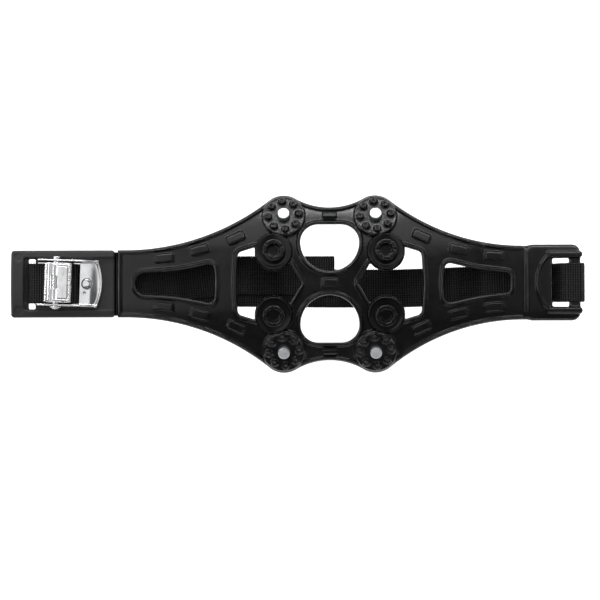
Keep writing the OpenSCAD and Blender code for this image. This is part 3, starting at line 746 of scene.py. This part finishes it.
def lever_rise(gx, gy, plan):
    """Relief of the thumb plate: border, raised middle, a groove on each side of it, and ridges."""
    border = box_sdf(gx, gy, -122.6, -113.9, -9.3, 9.3, 0.6)
    middle = box_sdf(gx, gy, -120.4, -115.2, -7.9, 7.7, 0.5)
    rise = 0.28 * (1 - step(-0.4, 0.0, border)) + 0.12 * (1 - step(-0.3, 0.1, middle))
    past_end = np.clip(np.abs(gy) - 7.9, 0, 9)
    past_side = np.clip(np.abs(gx + 117.6) - 3.2, 0, 9)
    for depth, slope, across, along in (
            (1.05, 1.5, gx + 121.15, past_end), (0.5, 1.5, gy - 8.3, past_side),
            (0.3, 1.2, gy + 8.3, past_side), (0.3, 1.2, gx + 114.7, past_end)):
        rise = rise - np.maximum(0, depth - np.hypot(across, along) * slope)
    ridge = 0.22 * (0.5 + 0.5 * np.cos(2 * math.pi * (gx - LEVER_X1) / TOOTH))
    ridge = ridge * (1 - step(-123.6, -123.0, gx))
    return rise + ridge * (1 - step(-1.0, -0.3, plan))


def lever_sdf(x, y, z):
    gx, gy = plan_grid(x, y)
    plan = box_sdf(gx, gy, LEVER_X1, LEVER_X2, -LEVER_Y, LEVER_Y, 0.7)
    # teeth along the free edge
    tooth = (0.5 + 0.5 * np.cos(2 * math.pi * gy / TOOTH)) ** 2
    plan = plan + 0.55 * (1 - step(-126.9, -125.7, gx)) * tooth
    bend = 0.35 * step(-125.3, -127.3, gx) ** 2
    top = LEVER_TOP + lever_rise(gx, gy, plan) - bend - 0.12
    plate = smax(plan[:, :, None], np.maximum(z - top[:, :, None], LEVER_TOP - LEVER_T - z), 0.5)
    # cam round the pin, with a toothed jaw cut back below its near corner
    q = np.hypot(x - CAM_X, z - CAM_Z)
    jaw = box_sdf(x, z, CAM_X - 2.4, CAM_X + 4.0, CAM_Z - 1.9, LEVER_TOP - 0.6, 0.5) - 0.6
    teeth = z - (CAM_Z - 2.35 + 0.9 * np.abs(((x - CAM_X) / 1.0) % 1.0 - 0.5))
    jaw = smax(jaw, -teeth, 0.2)
    jaw = smax(jaw, ((CAM_X - x) * 2.7 + (CAM_Z - z) * 2.4 - 6.2) / 3.61, 0.3)
    cam = np.minimum(q - 2.7, jaw)
    cam = smax(cam, np.maximum(np.abs(y) - 9.8, 3.4 - np.abs(y)), 0.3)
    return smax(smin(plate, cam, 0.5), 1.68 - q, 0.1)


lever = sdf_object("cam_lever_plate", lever_sdf, (-127.9, -10.6, 16.2), (-112.6, 10.6, 24.4), 0.16,
                   M["lever"], None)
lever.matrix_world = ASKEW
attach(lever, "lever")
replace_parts(lever, "cam_lever")

cross = Matrix.Translation((CAM_X / 1000, -0.0132, CAM_Z / 1000)) @ Matrix.Rotation(-math.pi / 2, 4, "X")
pin = lathe("buckle_cross_pin", bevelled([(0, 0), (1.6, 0), (1.6, 26.4), (0, 26.4)], 0.35), M["zinc"],
            "panel", 40, ASKEW @ cross)
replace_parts(pin, "cam_pin")


def clip_sdf(x, y, z):
    """Flat ring, open below, with two small inner tabs."""
    c = smax(np.abs(np.hypot(x, z) - 2.2) - 0.6, np.abs(y) - 0.36, 0.25)
    for t in (math.radians(30), math.radians(150)):
        d = np.hypot(x - 1.9 * math.cos(t), z - 1.9 * math.sin(t)) - 0.5
        c = smin(c, smax(d, np.abs(y) - 0.36, 0.25), 0.3)
    return smax(c, -np.maximum(np.abs(x) - 0.8, z + 0.8), 0.3)


clip = sdf_object("retaining_clip", clip_sdf, (-3.2, -0.8, -3.2), (3.2, 0.8, 3.2), 0.1,
                  M["zinc"], None)
clip.matrix_world = ASKEW @ Matrix.Translation((CAM_X / 1000, -(WALL_Y + 0.5) / 1000, CAM_Z / 1000))
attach(clip, "panel")
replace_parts(clip, "pin_clip")

COIL_TURNS, COIL_W, COIL_R, PER_TURN = 5, 4.4, 2.1, 24
turns = []
for k in range(PER_TURN * COIL_TURNS + 1):
    t = 2 * math.pi * k / PER_TURN
    along = COIL_W * (k / (PER_TURN * COIL_TURNS) - 0.5)
    turns.append((CAM_X + COIL_R * math.cos(t), along, CAM_Z + COIL_R * math.sin(t)))
coil = tube("torsion_coil", turns, 0.33, M["spring"])
coil.matrix_world = ASKEW
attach(coil, "panel")
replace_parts(coil, "cam_spring")

rivet_profile = bevelled([(0, 10.95), (1.9, 10.95), (1.9, 11.2), (1.48, 11.3), (1.48, 15.0),
                          (3.0, 15.02), (2.9, 15.5), (2.3, 16.05), (1.2, 16.28), (0, 16.3)], 0.3)
rivet = lathe("base_rivet_head", rivet_profile, M["chrome"], "panel", 48, RIVET)
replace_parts(rivet, "base_rivet")
ring_profile = bevelled([(1.55, 11.02), (3.35, 11.02), (3.35, 11.68), (1.55, 11.68)], 0.15)
ring = lathe("rivet_backing_ring", ring_profile, M["zinc"], "panel", 48, RIVET)
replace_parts(ring, "rivet_washer")


# ------------------------------------------------------------------ webbing
def eased(x1, z1, x2, z2, n=16):
    """Route that eases from height z1 at x1 to z2 at x2."""
    k = np.linspace(0, 1, n + 1)
    return np.stack([x1 + (x2 - x1) * k, z1 + (z2 - z1) * k * k * (3 - 2 * k)], 1)


def weft(ph, col):
    """Height of the ribs, mostly straight across with a slight brick pattern."""
    straight = np.abs(np.cos(math.pi * ph)) ** 0.8 + 0 * col
    brick = np.abs(np.cos(math.pi * (ph + 0.5 * (col % 2)))) ** 0.8
    return 0.75 * straight + 0.25 * brick


def centre_line(route, du):
    """Evenly spaced, softened points of a route, with the distance along it."""
    route = np.array(route, float)
    apart = np.linalg.norm(np.diff(route, axis=0), axis=1) > 1e-4
    route = route[np.concatenate([[True], apart])]
    s = np.concatenate([[0], np.cumsum(np.linalg.norm(np.diff(route, axis=0), axis=1))])
    u = np.linspace(0, s[-1], max(8, int(s[-1] / du)) + 1)
    px, pz = np.interp(u, s, route[:, 0]), np.interp(u, s, route[:, 1])
    for _ in range(6):
        px[1:-1] = (px[:-2] + 2 * px[1:-1] + px[2:]) / 4
        pz[1:-1] = (pz[:-2] + 2 * pz[1:-1] + pz[2:]) / 4
    return u, px, pz


def shell_faces(n, nv):
    """Faces of a closed ribbon: an upper and a lower grid of n by nv cells and the four edges."""
    m = nv + 1
    N = (n + 1) * m
    a = (np.arange(n)[:, None] * m + np.arange(nv)[None, :]).ravel()
    upper = np.stack([a, a + m, a + m + 1, a + 1], 1)[:, ::-1]
    lower = np.stack([a + N, a + N + m, a + N + m + 1, a + N + 1], 1)
    e0, c0 = np.arange(n) * m, np.arange(nv)
    e1, c1 = e0 + nv, n * m + c0
    edges = [np.stack([e0, e0 + N, e0 + N + m, e0 + m], 1), np.stack([e1, e1 + m, e1 + N + m, e1 + N], 1),
             np.stack([c0, c0 + 1, c0 + 1 + N, c0 + N], 1), np.stack([c1, c1 + N, c1 + 1 + N, c1 + 1], 1)]
    return np.concatenate([upper, lower, *[e[:, ::-1] for e in edges]])


def ribbon(name, route, body, y_at=None, width=WEB_W, du=0.2, per_col=4):
    """Woven strap along a route of (x, z) points, with its yarns as geometry."""
    u, px, pz = centre_line(route, du)
    n = len(u) - 1
    tx, tz = np.gradient(px), np.gradient(pz)
    ln = np.hypot(tx, tz)
    nx, nz = (-tz / ln)[:, None], (tx / ln)[:, None]
    cols = int(round(WEB_W / COL))
    w = np.linspace(-1, 1, cols * per_col + 1)
    col = np.clip(((w + 1) / 2 * cols).astype(int), 0, cols - 1)
    frac = (w + 1) / 2 * cols - col
    ph = u / PITCH
    arch = np.clip(1 - (2 * frac - 1) ** 2, 0, 1) ** 0.5
    edge = np.clip((1 - np.abs(w)) / 0.07, 0, 1) ** 0.5
    web = ((WEB_T / 2 - 0.12) * (0.35 + 0.65 * edge))[None, :]
    # the ribs of the lower face lie between those of the upper face
    lifts = [weft(ph[:, None] + shift, col[None, :]) for shift in (0, 0.5)]
    up, dn = [web + 0.44 * lift * (0.4 + 0.6 * arch)[None, :] - 0.26 for lift in lifts]
    scallop = (0.34 * np.abs(np.sin(math.pi * ph)) / (WEB_W / 2))[:, None] * np.abs(w)[None, :] ** 12
    v = w * width / 2
    yc = np.array([y_at(a) for a in px]) if y_at else np.zeros(n + 1)
    shear = -(np.gradient(yc) / ln)[:, None] * v[None, :]
    vx = px[:, None] + shear * np.sign(tx)[:, None]
    vy = yc[:, None] + v[None, :] * (1 - scallop)
    top = np.stack([vx + nx * up, vy, pz[:, None] + nz * up], 2)
    bot = np.stack([vx - nx * dn, vy, pz[:, None] - nz * dn], 2)
    verts = np.concatenate([top.reshape(-1, 3), bot.reshape(-1, 3)])
    ob = mesh_object(name, verts, shell_faces(n, len(w) - 1), M["web"], body)
    # rib height, used by the webbing material as the mask of its painted groove shade
    yarn = ob.data.attributes.new("yarn", "FLOAT", "POINT")
    height = [(lift * (0.6 + 0.4 * arch)[None, :]).ravel() for lift in lifts]
    yarn.data.foreach_set("value", np.concatenate(height).astype(np.float32))
    return ob


def main_y(x):
    return np.interp(x, (BEND_X2, -34, HUB_X, 50, SEWN_X), (0, -1.7, -2.3, -2.4, 0))


def tail_y(x):
    return np.interp(x, (BEND_X2, -37, -31, 18.6), (0, 4.35, 4.6, 4.5))


def feed_y(x):
    return FEED_SLOPE * (x - BEND_X1)


loop = ribbon("strap_end_loop", bent([
    (SEWN_X, SEWN_Z), (132, SEWN_Z), (138.5, 10.4), (144.1, 10.4), (144.1, 15.6), (135.2, 15.6),
    (129.6, DOUBLER_Z), (104, DOUBLER_Z)], [3, 3, 2.2, 2.2, 1.6, 3]), "sole")
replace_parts(loop, "strap_loop")

run = ribbon("strap_main_run", np.concatenate([
    [(SEWN_X, SEWN_Z)], eased(104, SEWN_Z, 68, LOW), eased(-48, LOW, BEND_X2, FEED_LOW)]), "sole", main_y)
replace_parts(run, "strap_main")

tail = ribbon("strap_tail_end", np.concatenate([
    eased(BEND_X2, FEED_HIGH, -48, HIGH), [(18.6, HIGH)]]), "sole", tail_y)
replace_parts(tail, "strap_tail")

feed = ribbon("strap_through_buckle", bent([
    (BEND_X1, FEED_LOW), (FEED_X1, FEED_LOW), (FEED_X1, FEED_TOP), (FEED_X2, FEED_TOP),
    (FEED_X2, FEED_HIGH), (BEND_X1, FEED_HIGH)], [3.8, 3.8, 1.6, 1.6]), "panel", feed_y, 20.5)
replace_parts(feed, "strap_feed")

for name, z, node in (("strap_fold_lower", FEED_LOW, "strap_bend_lower"),
                      ("strap_fold_upper", FEED_HIGH, "strap_bend_upper")):
    fold = ribbon(name, [(BEND_X1, z), (BEND_X2, z)], None)
    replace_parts(fold, node)
    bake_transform(fold)


# ------------------------------------------------------------------ stitching
def stitches(x1, y1, x2, y2):
    """Short stretches of thread along one seam."""
    n = max(2, int(math.hypot(x2 - x1, y2 - y1) / 2.1))
    a, d = np.array([x1, y1]), np.array([x2 - x1, y2 - y1])
    return [(a + d * (k + 0.12) / n, a + d * (k + 0.88) / n) for k in range(n)]


def thread_stitch(p, e, zc, up):
    """Points of one stitch from p to e, which rises out of the webbing and sinks back."""
    length, d = np.linalg.norm(e - p), unit(e - p)
    s = np.array([-d[1], d[0]])
    out = []
    for k in range(7):
        t = k / 6
        r = 0.24 * math.sqrt(max(0.0, 1 - (2 * t - 1) ** 6)) + 0.03
        lift = 0.18 * math.sqrt(max(0.0, 1 - (2 * t - 1) ** 4)) - 0.12
        for q in range(8):
            a = 2 * math.pi * q / 8
            x, y = p + d * length * t + s * r * math.cos(a)
            out.append((x, y, zc + up * lift + r * math.sin(a)))
    return out


def box_stitching():
    """A box with a cross, seen on both faces of the sewn lap."""
    x1, x2, y = 107.3, 122.7, 7.2
    seams = [(x1, -y, x2, -y), (x2, -y, x2, y), (x2, y, x1, y), (x1, y, x1, -y),
             (x1 + 0.5, -6.8, x2 - 0.5, 6.8), (x1 + 0.5, 6.8, x2 - 0.5, -6.8)]
    v, f = [], []
    for seam in seams:
        for p, e in stitches(*seam):
            for zc, up in ((DOUBLER_Z + WEB_T / 2 + 0.02, 1), (SEWN_Z - WEB_T / 2 - 0.02, -1)):
                b0 = len(v)
                v += thread_stitch(p, e, zc, up)
                for k in range(6):
                    for q in range(8):
                        a, c = b0 + k * 8 + q, b0 + k * 8 + (q + 1) % 8
                        f.append([a, a + 8, c + 8, c])
                f.append([b0 + q for q in range(8)])
                f.append([b0 + 48 + q for q in range(8)][::-1])
    return mesh_object("box_stitching", v, f, M["thread"], "sole")


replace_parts(box_stitching(), "stitching")


# ------------------------------------------------------------------ stage
def floor():
    """Pale floor, low enough to stay under the folded panel."""
    me = bpy.data.meshes.new("floor")
    s, z = 60.0, -0.045
    me.from_pydata([(-s, -s, z), (s, -s, z), (s, s, z), (-s, s, z)], [], [(0, 1, 2, 3)])
    ob = bpy.data.objects.new("floor", me)
    bpy.context.scene.collection.objects.link(ob)
    m, _, b = material("floor", (0.88, 0.88, 0.88), 0.8)
    b.inputs["Emission Color"].default_value = (1, 1, 1, 1)
    b.inputs["Emission Strength"].default_value = 0.75
    me.materials.append(m)


def area(name, loc, target, sx, sy, power):
    li = bpy.data.lights.new(name, "AREA")
    li.shape = "RECTANGLE"
    li.size, li.size_y, li.energy = sx, sy, power
    ob = bpy.data.objects.new(name, li)
    ob.location = loc
    ob.rotation_euler = (Vector(target) - Vector(loc)).to_track_quat("-Z", "Y").to_euler()
    bpy.context.scene.collection.objects.link(ob)


def world():
    w = bpy.data.worlds.new("studio")
    bpy.context.scene.world = w
    w.use_nodes = True
    bg = w.node_tree.nodes["Background"]
    bg.inputs["Color"].default_value = (1, 1, 1, 1)
    bg.inputs["Strength"].default_value = 0.10


def camera():
    """Camera almost straight above, leaning a little towards the near side."""
    cam = bpy.data.cameras.new("camera")
    ob = bpy.data.objects.new("camera", cam)
    bpy.context.scene.collection.objects.link(ob)
    distance, tilt, roll, view_width = 0.9, math.radians(1.6), math.radians(-0.19), 0.3024
    cam.sensor_width = 36
    cam.lens = cam.sensor_width * distance / view_width
    aim = Vector((0.0009, -0.0085, 0.015))
    place = aim + Vector((0, -distance * math.sin(tilt), distance * math.cos(tilt)))
    turn = Matrix.Rotation(tilt, 4, "X") @ Matrix.Rotation(roll, 4, "Z")
    ob.matrix_world = Matrix.Translation(place) @ turn
    bpy.context.scene.camera = ob


floor()
area("strip_far", (0.0, 0.9, 0.62), (0, 0, 0), 1.6, 0.07, 8)
area("strip_left", (-0.95, 0.15, 0.55), (0, 0, 0), 0.9, 0.08, 4.2)
area("strip_right", (0.95, 0.25, 0.6), (0, 0, 0), 0.9, 0.08, 1.5)
area("strip_front", (0.1, -0.95, 0.5), (0, 0, 0), 1.4, 0.06, 2.6)
area("softbox_far", (0.0, 0.8, 1.0), (0, 0, 0), 1.5, 0.5, 2.9)
area("overhead_left", (-0.56, 0.1, 1.3), (-0.56, 0.1, 0), 0.9, 1.0, 2.7)
area("overhead_right", (0.62, 0.1, 1.3), (0.62, 0.1, 0), 0.7, 1.0, 0.75)
world()
camera()
bpy.context.scene.view_settings.view_transform = "Standard"
